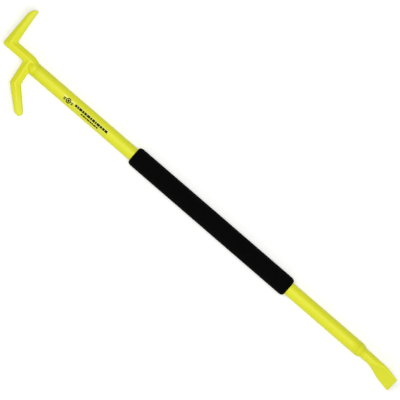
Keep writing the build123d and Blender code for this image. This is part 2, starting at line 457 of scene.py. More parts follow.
def soften(corners: list[Point], radii: list[float], arc_steps: int, flat_steps: int) -> list[Point]:
    """Round the corners of a closed outline.

    Args:
        corners: the outline's corners, in order.
        radii: how far the rounding reaches along the edges at each corner.
        arc_steps: steps in each rounded corner.
        flat_steps: extra points on each straight edge.

    Returns:
        Points round the outline, the same number for any corner positions.
    """
    count = len(corners)
    most_of_edge = 0.46
    reach = []
    for i in range(count):
        before = most_of_edge * math.dist(corners[i], corners[i - 1])
        after = most_of_edge * math.dist(corners[i], corners[(i + 1) % count])
        reach.append((min(radii[i], before), min(radii[i], after)))

    def between(a: Point, b: Point, share: float) -> Point:
        """Point at a share of the way from a to b."""
        return (a[0] + (b[0] - a[0]) * share, a[1] + (b[1] - a[1]) * share)

    outline = []
    for i in range(count):
        corner = corners[i]
        previous = corners[i - 1]
        following = corners[(i + 1) % count]
        next_reach = reach[(i + 1) % count][0]
        start = between(corner, previous, reach[i][0] / math.dist(corner, previous))
        end = between(corner, following, reach[i][1] / math.dist(corner, following))
        for step in range(arc_steps + 1):
            share = step / arc_steps
            outline.append(between(between(start, corner, share), between(corner, end, share), share))
        next_start = between(following, corner, next_reach / math.dist(following, corner))
        for step in range(1, flat_steps + 1):
            outline.append(between(end, next_start, step / (flat_steps + 1)))
    return outline


def relax(rings: list[Ring], passes: int) -> list[Ring]:
    """Ease the creases that run across a bar by averaging each ring with its neighbours.

    Args:
        rings: the bar's rings. The first and the last stay where they are.
        passes: how many times to average.

    Returns:
        The eased rings.
    """
    for _ in range(passes):
        averaged = [rings[0]]
        for before, here, after in zip(rings, rings[1:], rings[2:]):
            averaged.append([(a + 2 * b + c) / 4 for a, b, c in zip(before, here, after)])
        averaged.append(rings[-1])
        rings = averaged
    return rings


def hammered(rings: list[Ring], depth: float, wavelength: float, seed: float) -> list[Ring]:
    """Push a surface in and out a little, as forging leaves it.

    Args:
        rings: the rings of a bar.
        depth: the largest push, in metres.
        wavelength: distance between dents.
        seed: moves the pattern, so that no two pieces have the same one.

    Returns:
        The dented rings. The dents only go inwards, so that the bar keeps its outer size.
    """
    shift = Vector((seed, 2 * seed, 3 * seed))
    fine_wavelength = 0.35 * wavelength
    middle, broad_part, fine_part = 0.5, 0.35, 0.15
    result = []
    for ring in rings:
        centre = sum(ring, Vector()) / len(ring)
        dented = []
        for point in ring:
            broad = noise.noise(point / wavelength + shift)
            fine = noise.noise(point / fine_wavelength - shift)
            push = depth * (middle + broad_part * broad + fine_part * fine)
            inward = centre - point
            half_way = 0.5 * inward.length
            dented.append(point + inward.normalized() * min(push, half_way))
        result.append(dented)
    return result


def revolved(
    name: str,
    axis_height: float,
    profile: list[Point],
    segments: int,
    stand: Callable[[float, float, float], float] | None = None,
) -> Piece:
    """Turn a closed profile about the shaft's axis.

    Args:
        name: the new object's name.
        axis_height: height of the shaft's axis.
        profile: (x, radius) points of the closed profile.
        segments: points round the shaft.
        stand: extra radius as a function of x, radius and angle, or None for a true surface.

    Returns:
        The new object.
    """
    rings = []
    for x, radius in profile:
        ring = []
        for k in range(segments):
            angle = 2 * math.pi * k / segments
            reach = radius + (stand(x, radius, angle) if stand else 0.0)
            ring.append(Vector((x, reach * math.sin(angle), axis_height + reach * math.cos(angle))))
        rings.append(ring)
    return ring_mesh(name, rings, closed_length=True)


def smooth_larger(first: float, second: float, width: float) -> float:
    """The larger of two lengths, rounded off where they are within a width of each other."""
    overlap = max(0.0, width - abs(first - second)) / width
    return max(first, second) + width * overlap * overlap / 4


def ripple(phase: float) -> float:
    """Height of a weld's scales about the plain bead: a rounded back, then a sharp step to the next.

    Args:
        phase: place along the bead, counted in scales.

    Returns:
        The height, from -0.6 to 0.4 of a scale's own height.
    """
    plain = 0.6
    share = phase - math.floor(phase)
    return math.sqrt(max(0.0, 1.0 - share * share)) - plain


def eased(share: float) -> float:
    """Share from 0 to 1 that starts and ends gently."""
    return share * share * (3 - 2 * share)


def catmull(before: Vector, start: Vector, end: Vector, beyond: Vector, share: float) -> Vector:
    """Point on the smooth curve through start and end.

    Args:
        before: the point before start.
        start: where share is 0.
        end: where share is 1.
        beyond: the point after end.
        share: from 0 to 1.

    Returns:
        The point.
    """
    second = share * share
    third = second * share
    return 0.5 * (
        2 * start
        + (end - before) * share
        + (2 * before - 5 * start + 4 * end - beyond) * second
        + (3 * start - 3 * end + beyond - before) * third
    )


# ---------------------------------------------------------------- places taken from the frame


@dataclass(frozen=True)
class Layout:
    """Where things are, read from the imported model."""

    face_x: float
    axis_height: float
    tube_start: float
    tube_end: float
    tube_radius: float
    grip_start: float
    grip_end: float
    grip_radius: float
    blade_top: float
    claw_low: float
    pry_tip: float

    @staticmethod
    def read() -> "Layout":
        """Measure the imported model's nodes.

        Returns:
            The layout.
        """
        tube_low, tube_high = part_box("shaft_tube")
        grip_low, grip_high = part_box("foam_grip")
        hook_low, hook_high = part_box("top_hook")
        claw_low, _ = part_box("side_claw")
        _, pry_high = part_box("pry_end")
        return Layout(
            face_x=hook_low.x,
            axis_height=(tube_low.z + tube_high.z) / 2,
            tube_start=tube_low.x,
            tube_end=tube_high.x,
            tube_radius=(tube_high.z - tube_low.z) / 2,
            grip_start=grip_low.x,
            grip_end=grip_high.x,
            grip_radius=(grip_high.z - grip_low.z) / 2,
            blade_top=hook_high.y,
            claw_low=claw_low.y,
            pry_tip=pry_high.x,
        )


# ---------------------------------------------------------------- hexagon-bar forgings


@dataclass(frozen=True)
class BarStation:
    """One six-sided section of a forged bar, between an outer and an inner point of the hook plane."""

    outer: Point
    inner: Point
    corner_half: float
    ridge_half: float
    ridge_share: float = 0.5
    ridge_round: float = 0.0030
    edge_round: float = 0.0026

    def towards(self, other: "BarStation", share: float) -> "BarStation":
        """Blend this section with another.

        Args:
            other: the far section.
            share: 0 here, 1 there.

        Returns:
            The section at that share of the way.
        """

        def mix(a: float, b: float) -> float:
            """Value at the share between a and b."""
            return a + (b - a) * share

        return BarStation(
            outer=(mix(self.outer[0], other.outer[0]), mix(self.outer[1], other.outer[1])),
            inner=(mix(self.inner[0], other.inner[0]), mix(self.inner[1], other.inner[1])),
            corner_half=mix(self.corner_half, other.corner_half),
            ridge_half=mix(self.ridge_half, other.ridge_half),
            ridge_share=mix(self.ridge_share, other.ridge_share),
            ridge_round=mix(self.ridge_round, other.ridge_round),
            edge_round=mix(self.edge_round, other.edge_round),
        )

    def shrunk(self, by: float, along: Point, forward: float) -> "BarStation":
        """Move this section along the bar and draw it in on every side, for a rounded end.

        Args:
            by: how far each side comes in.
            along: unit direction of the bar in the hook plane.
            forward: how far the section moves.

        Returns:
            The smaller section.
        """
        width = math.dist(self.outer, self.inner)
        across = ((self.inner[0] - self.outer[0]) / width, (self.inner[1] - self.outer[1]) / width)
        return replace(
            self,
            outer=stepped(stepped(self.outer, by, across), forward, along),
            inner=stepped(stepped(self.inner, -by, across), forward, along),
            corner_half=self.corner_half - by,
            ridge_half=self.ridge_half - by,
        )

    def ring(self, layout: Layout) -> Ring:
        """Draw the section's outline with its ridges and edges rounded.

        Args:
            layout: the tool's layout.

        Returns:
            The outline's ring.
        """
        width = math.dist(self.outer, self.inner)
        across = Vector((self.inner[0] - self.outer[0], self.inner[1] - self.outer[1], 0)) / width
        start = Vector((layout.face_x + self.outer[0], self.outer[1], layout.axis_height))
        ridge = width * self.ridge_share
        low_side = [(0, -self.corner_half), (ridge, -self.ridge_half), (width, -self.corner_half)]
        corners = low_side + [(u, -v) for u, v in reversed(low_side)]
        radii = [self.edge_round, self.ridge_round, self.edge_round] * 2
        outline = soften(corners, radii, arc_steps=6, flat_steps=3)
        return [start + across * u + Vector((0, 0, v)) for u, v in outline]


def bar_rings(layout: Layout, stations: list[BarStation], spacing: float) -> list[Ring]:
    """Fill in the sections of a bar, so that they are no further apart than the spacing.

    Args:
        layout: the tool's layout.
        stations: the bar's main sections.
        spacing: the largest gap, in metres.

    Returns:
        The rings of the whole bar.
    """
    rings = [stations[0].ring(layout)]
    for here, there in zip(stations, stations[1:]):
        gap = max(math.dist(here.outer, there.outer), math.dist(here.inner, there.inner))
        steps = max(1, math.ceil(gap / spacing))
        rings += [here.towards(there, step / steps).ring(layout) for step in range(1, steps + 1)]
    return rings


def rounded_end(last: BarStation, along: Point, radius: float, steps: int) -> list[BarStation]:
    """Sections that round a bar's end off.

    Args:
        last: the section where the rounding starts.
        along: unit direction of the bar.
        radius: the rounding's radius.
        steps: how many sections.

    Returns:
        The sections beyond the last one.
    """
    sections = []
    for step in range(1, steps + 1):
        angle = math.pi / 2 * step / steps
        sections.append(last.shrunk(radius * (1 - math.cos(angle)), along, radius * math.sin(angle)))
    return sections


def heading(angle: float) -> Point:
    """Unit direction in the hook plane, at an angle in degrees to the shaft."""
    return (math.cos(math.radians(angle)), math.sin(math.radians(angle)))


def stepped(start: Point, distance: float, way: Point) -> Point:
    """Point at a distance from another, in a direction."""
    return (start[0] + distance * way[0], start[1] + distance * way[1])


def across_from(centre: Point, half_width: float, angle: float) -> tuple[Point, Point]:
    """Find the two ends of a width that is centred on a point.

    Args:
        centre: the middle of the width.
        half_width: half of it.
        angle: its angle to the shaft, in degrees.

    Returns:
        The near end and the far end.
    """
    way = heading(angle)
    return stepped(centre, -half_width, way), stepped(centre, half_width, way)


@dataclass(frozen=True)
class WeldKnot:
    """One place on the seam between the claw and the neck, and the bead there.

    The place is counted across and up the neck and by its height over the shaft's axis. The bead's middle
    is sunk by the depth, against the way that leads out of the corner.
    """

    across: float
    up: float
    height: float
    away: tuple[float, float, float]
    radius: float
    depth: float

    def opposite(self) -> "WeldKnot":
        """The knot half way round the seam."""
        away = (-self.away[0], self.away[1], -self.away[2])
        return replace(self, across=-self.across, height=-self.height, away=away)


@dataclass
class Head:
    """The two hooks, forged from hexagon bar, and the welds that join them to the tube."""

    layout: Layout
    finishes: FinishRack
    bar_flats: float = 0.01905
    neck_rise: float = 0.0072
    neck_bevel_length: float = 0.011
    neck_bevel_drop: float = 0.0028
    corner_radius: float = 0.005
    throat_radius: float = 0.0035
    blade_tip_setback: float = 0.0122
    blade_tip_thickness: float = 0.0026
    blade_tip_half: float = 0.0135
    blade_tip_round: float = 0.00117
    blade_bevel_length: float = 0.014
    blade_nose_length: float = 0.0044
    blade_nose_inset: float = 0.0040
    claw_setback: float = 0.0129
    claw_lean: float = 8.0
    claw_arm_length: float = 0.0388
    claw_cope: float = 0.0094
    claw_hook_angle: float = 40.8
    claw_end_setback: float = 0.1036
    claw_end_thickness: float = 0.0106
    claw_end_angle: float = 60.0
    claw_tip_thickness: float = 0.0155
    claw_tip_half: float = 0.0091
    claw_tip_round: float = 0.0022
    claw_bevel_length: float = 0.0092
    claw_bevel_angle: float = 12.0
    dent_depth: float = 0.00022
    dent_spacing: float = 0.011
    ring_spacing: float = 0.0009
    ease_passes: int = 5
    eased_away: float = 0.0008
    bead_scale: float = 0.00012
    bead_pitch: float = 0.0021
    bead_bow: float = 0.5
    weld_before: float = 0.0125
    weld_after: float = 0.0050
    weld_crown: float = 0.00015
    weld_cover: float = 0.0011
    weld_fall: float = 0.0034
    weld_hollow: float = 1.3
    weld_blend: float = 0.0024
    blend_left: float = 0.01
    weld_sink: float = 0.0010
    toe_sink: float = 0.00002

    def __post_init__(self) -> None:
        """Work out the sizes that the pieces share."""
        self.hex_corner = self.bar_flats / math.sqrt(3)
        self.hex_edge = self.hex_corner / 2
        self.neck_low = self.neck_rise - self.bar_flats / 2
        self.neck_high = self.neck_rise + self.bar_flats / 2
        self.head_length = self.layout.tube_start - self.layout.face_x

    def throat_face(self, height: float) -> float:
        """Distance from the striking face to the blade's throat side.

        Args:
            height: distance above the shaft's axis.

        Returns:
            The distance, in metres.
        """
        low = self.neck_high + self.throat_radius
        share = (height - low) / (self.layout.blade_top - low)
        return self.bar_flats + (self.blade_tip_setback - self.bar_flats) * share

    def neck_end(self) -> list[BarStation]:
        """Lay out the neck at the tube, where its upper side is ground down to meet the tube.

        Returns:
            The sections, in order along the bar.
        """
        edge, ridge = self.hex_edge, self.hex_corner
        bevel_start = self.head_length - self.neck_bevel_length
        return [
            BarStation(
                outer=(self.head_length, self.neck_low),
                inner=(self.head_length, self.neck_high - self.neck_bevel_drop),
                corner_half=edge,
                ridge_half=ridge,
                ridge_share=(self.bar_flats / 2) / (self.bar_flats - self.neck_bevel_drop),
            ),
            BarStation((bevel_start, self.neck_low), (bevel_start, self.neck_high), edge, ridge),
        ]

    def square_bend(self) -> list[BarStation]:
        """Lay out the square bend between the neck and the blade.

        Returns:
            The sections, in order along the bar.
        """
        steps = 10
        sections = []
        for step in range(steps + 1):
            turn = math.pi / 2 * step / steps
            across, up = 1 - math.sin(turn), 1 - math.cos(turn)
            outer = (self.corner_radius * across, self.neck_low + self.corner_radius * up)
            throat_x = self.bar_flats + self.throat_radius * across
            throat = (throat_x, self.neck_high + self.throat_radius * up)
            sections.append(BarStation(outer, throat, self.hex_edge, self.hex_corner))
        return sections

    def chisel_blade(self) -> list[BarStation]:
        """Lay out the blade: where its bevel starts, its nose, and its rounded edge.

        Returns:
            The sections, in order along the bar.
        """
        top = self.layout.blade_top
        bevel = top - self.blade_bevel_length
        nose = top - self.blade_nose_length
        edge_start = top - self.blade_tip_round
        shoulder = BarStation(
            outer=(0, bevel),
            inner=(self.throat_face(bevel), bevel),
            corner_half=0.0101,
            ridge_half=0.0125,
            ridge_share=0.39,
            ridge_round=0.0030,
            edge_round=0.0020,
        )
        nose_section = BarStation(
            outer=(self.blade_nose_inset, nose),
            inner=(self.throat_face(nose), nose),
            corner_half=self.blade_tip_half - 0.0009,
            ridge_half=self.blade_tip_half,
            ridge_share=0.42,
            ridge_round=0.0025,
            edge_round=0.0016,
        )
        tip = BarStation(
            outer=(self.blade_tip_setback - self.blade_tip_thickness, edge_start),
            inner=(self.blade_tip_setback, edge_start),
            corner_half=self.blade_tip_half - 0.0003,
            ridge_half=self.blade_tip_half,
            ridge_round=0.0006,
            edge_round=0.0008,
        )
        straight_up = (0.0, 1.0)
        return [shoulder, nose_section, tip, *rounded_end(tip, straight_up, self.blade_tip_round, steps=3)]

    def forged(self, name: str, stations: list[BarStation], seed: float) -> Piece:
        """Skin a bar's sections, with eased creases and hammer marks, and coat it.

        Args:
            name: the piece's name.
            stations: the bar's main sections.
            seed: moves the pattern of the hammer marks.

        Returns:
            The coated bar.
        """
        rings = relax(bar_rings(self.layout, stations, self.ring_spacing), self.ease_passes)
        piece = ring_mesh(name, hammered(rings, self.dent_depth, self.dent_spacing, seed))
        self.finishes.dress(piece, Slot.POWDER_COAT)
        return piece

    def top_hook(self) -> None:
        """Make the neck, the square bend and the chisel blade as one forging."""
        stations = self.neck_end() + self.square_bend() + self.chisel_blade()
        seat(self.forged("top_hook_forging", stations, seed=1.7), "top_hook")

    def claw_root(self) -> Point:
        """Point where the claw's centre line meets the neck."""
        return (self.head_length - self.claw_setback, self.neck_low)

    def claw_end(self) -> list[BarStation]:
        """Lay out the claw's blunt tip: where the bevel under it starts, and its rounded end.

        Returns:
            The sections, in order along the bar.
        """
        low_corner = (self.claw_end_setback + self.eased_away, self.layout.claw_low - self.eased_away)
        bevel_start = stepped(low_corner, self.claw_bevel_length, heading(180 - self.claw_bevel_angle))
        bevel = BarStation(
            outer=bevel_start,
            inner=stepped(bevel_start, self.claw_tip_thickness, heading(90 - self.claw_hook_angle)),
            corner_half=self.claw_tip_half - 0.0012,
            ridge_half=self.claw_tip_half,
            ridge_share=0.36,
        )
        out = heading(self.claw_end_angle - 90)
        end_low = stepped(low_corner, -self.claw_tip_round, out)
        end = BarStation(
            outer=end_low,
            inner=stepped(end_low, self.claw_end_thickness, heading(self.claw_end_angle)),
            corner_half=self.claw_tip_half - 0.0015,
            ridge_half=self.claw_tip_half - 0.0005,
            ridge_share=0.42,
            edge_round=0.0022,
        )
        return [bevel, end, *rounded_end(end, out, self.claw_tip_round, steps=5)]

    def side_claw(self) -> None:
        """Make the claw: upper arm, knee, lower arm and the bevel under its blunt tip."""
        edge, ridge = self.hex_edge, self.hex_corner
        down = heading(self.claw_lean - 90)
        root = self.claw_root()
        top = stepped(root, -self.claw_cope, down)
        knee = stepped(root, self.claw_arm_length, down)
        half_turn = (90 - self.claw_lean - self.claw_hook_angle) / 2
        root_half = self.bar_flats / 2 / math.cos(math.radians(self.claw_lean))
        knee_half = self.bar_flats / 2 / math.cos(math.radians(half_turn))
        knee_angle = self.claw_lean + half_turn
        stations = [
            BarStation(*across_from(top, root_half, 0.0), edge, ridge),
            BarStation(*across_from(root, root_half, 0.0), edge, ridge),
            BarStation(*across_from(knee, knee_half, knee_angle), edge, ridge, ridge_share=0.46),
            *self.claw_end(),
        ]
        seat(self.forged("claw_forging", stations, seed=4.3), "side_claw")

    def bar_reach(self, place: float, angle: float) -> float:
        """Distance from the shaft's axis to the outside of the neck and the claw's root.

        Args:
            place: distance from the striking face.
            angle: direction in the plane across the shaft, from +Z towards +Y.

        Returns:
            The distance, at most the tube's radius less the weld's cover.
        """
        cover = self.layout.tube_radius - self.weld_cover
        claw_x, claw_y = self.claw_root()
        half, ridge = self.bar_flats / 2, self.hex_corner
        side_fall = 1 - self.hex_edge / self.hex_corner
        reach = cover
        steps = 60
        for step in range(steps, 0, -1):
            reach = cover * step / steps
            y, z = reach * math.sin(angle), abs(reach * math.cos(angle))
            beside_neck = abs(y - self.neck_rise)
            middle = claw_x + (claw_y - y) * math.tan(math.radians(self.claw_lean))
            beside_claw = abs(place - middle)
            in_neck = beside_neck <= half and z <= ridge * (1 - side_fall * beside_neck / half)
            in_claw = beside_claw <= half and z <= ridge * (1 - side_fall * beside_claw / half)
            in_claw = in_claw and y <= claw_y + self.claw_cope
            if in_neck or in_claw:
                break
        return reach

    def weld_reach(self, offset: float, angle: float) -> float:
        """Radius of the weld at the tube's end.

        Args:
            offset: distance beyond the tube's end, towards the foot.
            angle: direction in the plane across the shaft, from +Z towards +Y.

        Returns:
            The distance from the shaft's axis to the weld's surface.
        """
        crest = self.layout.tube_radius + self.weld_crown
        if offset > 0:
            share = offset / self.weld_after
            reach = crest - (self.weld_crown + self.toe_sink) * eased(share)
            scaled = (1 - share) ** 2
        else:
            share = -offset / self.weld_before
            bars = self.bar_reach(self.head_length + offset, angle)
            slope = crest - self.weld_fall * share**self.weld_hollow
            blend = self.weld_blend * (1 + self.blend_left - share * share)
            reach = smooth_larger(slope, bars, blend) - self.weld_sink * share * share
            scaled = min(1.0, max(0.0, (reach - bars) / self.weld_blend))
        bow = self.bead_bow * (offset / self.weld_after) ** 2
        return reach + self.bead_scale * scaled * ripple(angle * crest / self.bead_pitch + bow)

    def head_weld(self) -> None:
        """Make the bead that runs from the tube's end down to the bars, with its scales."""
        steps, around = 26, 240
        rings = []
        for step in range(-1, steps + 2):
            share = min(max(step / steps, 0.0), 1.0)
            offset = -self.weld_before + (self.weld_before + self.weld_after) * share
            ring = []
            for k in range(around):
                angle = 2 * math.pi * k / around
                inside = step < 0 or step > steps
                reach = self.hex_edge if inside else self.weld_reach(offset, angle)
                y, z = reach * math.sin(angle), reach * math.cos(angle)
                ring.append(Vector((self.layout.tube_start + offset, y, self.layout.axis_height + z)))
            rings.append(ring)
        piece = ring_mesh("head_weld_bead", rings, closed_length=True)
        self.finishes.dress(piece, Slot.POWDER_COAT)
        seat(piece, "head_weld")

    def claw_seam(self) -> list[WeldKnot]:
        """Lay out the closed seam round the claw's root: over the top, then back underneath.

        Returns:
            The places on the seam, in order.
        """
        half, edge, ridge = self.bar_flats / 2, self.hex_edge, self.hex_corner
        flank, flank_height = 0.5 * half, 0.75 * ridge
        over = [
            WeldKnot(-half, 0.0, edge, (-0.6, -0.6, 0.5), radius=0.0042, depth=0.0033),
            WeldKnot(-flank, flank, flank_height, (-0.27, -0.27, 0.93), radius=0.0036, depth=0.0032),
            WeldKnot(0.0, 0.9 * half, 0.95 * ridge, (0.0, -0.35, 0.94), radius=0.0022, depth=0.0026),
            WeldKnot(flank, flank, flank_height, (0.27, -0.27, 0.93), radius=0.0036, depth=0.0032),
            WeldKnot(half, 0.0, edge, (0.6, -0.6, 0.5), radius=0.0042, depth=0.0033),
        ]
        side = WeldKnot(half, 0.0, 0.0, (0.7, -0.7, 0.0), radius=0.0054, depth=0.0038)
        half_seam = [*over, side]
        return half_seam + [knot.opposite() for knot in half_seam]

    def claw_weld(self) -> None:
        """Make the bead that runs along the seam between the claw and the neck."""
        seam = self.claw_seam()
        slant = math.tan(math.radians(self.claw_lean))
        root = self.claw_root()
        origin = Vector((self.layout.face_x + root[0], root[1], self.layout.axis_height))
        places = [origin + Vector((knot.across - knot.up * slant, knot.up, knot.height)) for knot in seam]
        ways = [Vector(knot.away) for knot in seam]
        sizes = [Vector((knot.radius, knot.depth, 0)) for knot in seam]

        def along_seam(values: list[Vector], at: float) -> Vector:
            """Smoothly interpolated value at a place on the closed seam, counted in knots."""
            i, count = math.floor(at), len(values)
            return catmull(*(values[(i + j) % count] for j in (-1, 0, 1, 2)), at - i)

        steps, around = 26, 20
        total = len(seam) * steps
        path = [along_seam(places, i / steps) for i in range(total)]
        rings = []
        travelled = 0.0
        for i, point in enumerate(path):
            along = (path[(i + 1) % total] - path[i - 1]).normalized()
            travelled += (point - path[i - 1]).length if i else 0.0
            away = along_seam(ways, i / steps)
            away = (away - along * away.dot(along)).normalized()
            aside = along.cross(away)
            radius, depth, _ = along_seam(sizes, i / steps)
            ring = []
            for k in range(around):
                angle = 2 * math.pi * k / around
                bow = 0.25 * math.cos(angle)
                lap = self.bead_scale * ripple(travelled / self.bead_pitch + bow)
                reach = radius + (lap if math.cos(angle) > 0 else 0.0)
                rise = reach * math.cos(angle) - depth
                ring.append(point + away * rise + aside * (reach * math.sin(angle)))
            rings.append(ring)
        piece = ring_mesh("claw_weld_bead", rings, closed_length=True)
        self.finishes.dress(piece, Slot.POWDER_COAT)
        seat(piece, "claw_weld")

    def build(self) -> None:
        """Make every piece of the head."""
        self.top_hook()
        self.side_claw()
        self.head_weld()
        self.claw_weld()


# ---------------------------------------------------------------- shaft, label and grip


@dataclass
class Shaft:
    """The coated tube with its label, and the bar inside its head end."""

    layout: Layout
    finishes: FinishRack
    wall: float = 0.00305
    segments: int = 160

    def tube(self) -> None:
        """Make the tube as a true hollow tube with broken end edges."""
        start, end, radius = self.layout.tube_start, self.layout.tube_end, self.layout.tube_radius
        bore = radius - self.wall
        break_edge = 0.0004
        spans = 48
        outer = [
            (start + break_edge + (end - start - 2 * break_edge) * i / spans, radius)
            for i in range(spans + 1)
        ]
        profile = [(start, bore), (start, radius - break_edge), *outer]
        profile += [(end, radius - break_edge), (end, bore)]
        piece = revolved("tube_coated", self.layout.axis_height, profile, self.segments)
        self.finishes.dress(piece, Slot.POWDER_COAT)
        seat(piece, "shaft_tube")

    def build(self) -> None:
        """Make the tube, and dress the core and the label's two layers."""
        self.tube()
        kept = {
            "head_core": Slot.BARE_STEEL,
            "label_film": Slot.LABEL_VINYL,
            "label_print": Slot.LABEL_INK,
        }
        for node, slot in kept.items():
            self.finishes.dress(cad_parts[node], slot)
            LOG.info("%s: kept from the packed model, finished as %s", node, slot.value)


@dataclass
class Grip:
    """The foam sleeve."""

    layout: Layout
    finishes: FinishRack
    roll_length: float = 0.0075
    roll_height: float = 0.0052
    segments: int = 144
    ring_spacing: float = 0.0022
    lip: float = 0.0004
    sag: float = 0.00018
    sag_per_metre: float = 14.0
    sag_around: float = 1.3
    grain: float = 0.00007
    grain_per_metre: float = 420.0
    grain_around: float = 8.0

    def dent(self, x: float, angle: float, per_metre: float, around: float) -> float:
        """Smooth noise on the sleeve's surface.

        Args:
            x: place along the shaft.
            angle: place round the shaft.
            per_metre: how fast it changes along the shaft.
            around: how fast it changes round the shaft.

        Returns:
            A value that stays between -1 and 0.
        """
        highest = 0.9
        place = Vector((x * per_metre, around * math.sin(angle), around * math.cos(angle)))
        return (noise.noise(place) - highest) / (1 + highest)

    def uneven(self, x: float, reach: float, angle: float) -> float:
        """How far the foam stands in from its nominal surface.

        Args:
            x: place along the shaft.
            reach: the nominal radius.
            angle: place round the shaft.

        Returns:
            The distance, never above zero. The bore stays true.
        """
        if reach <= self.layout.tube_radius + self.lip:
            return 0.0
        sag = self.sag * self.dent(x, angle, self.sag_per_metre, self.sag_around)
        return sag + self.grain * self.dent(x, angle, self.grain_per_metre, self.grain_around)

    def sleeve(self) -> None:
        """Make the sleeve with soft rolled ends and the slight unevenness of foam on a tube."""
        start, end = self.layout.grip_start, self.layout.grip_end
        radius, bore = self.layout.grip_radius, self.layout.tube_radius
        end_steps = 9
        head_end = []
        for step in range(end_steps + 1):
            angle = math.pi / 2 * step / end_steps
            drop = self.roll_height * (1 - math.sin(angle))
            head_end.append((start + self.roll_length * (1 - math.cos(angle)), radius - drop))
        foot_end = [(start + end - x, r) for x, r in reversed(head_end)]
        first, last = head_end[-1][0], foot_end[0][0]
        spans = math.ceil((last - first) / self.ring_spacing)
        body = [(first + (last - first) * i / spans, radius) for i in range(1, spans)]
        profile = [(start + self.lip, bore), *head_end, *body, *foot_end, (end - self.lip, bore)]
        piece = revolved("grip_sleeve", self.layout.axis_height, profile, self.segments, self.uneven)
        self.finishes.dress(piece, Slot.FOAM)
        seat(piece, "foam_grip")

    def build(self) -> None:
        """Make the grip."""
        self.sleeve()


# ---------------------------------------------------------------- pry end


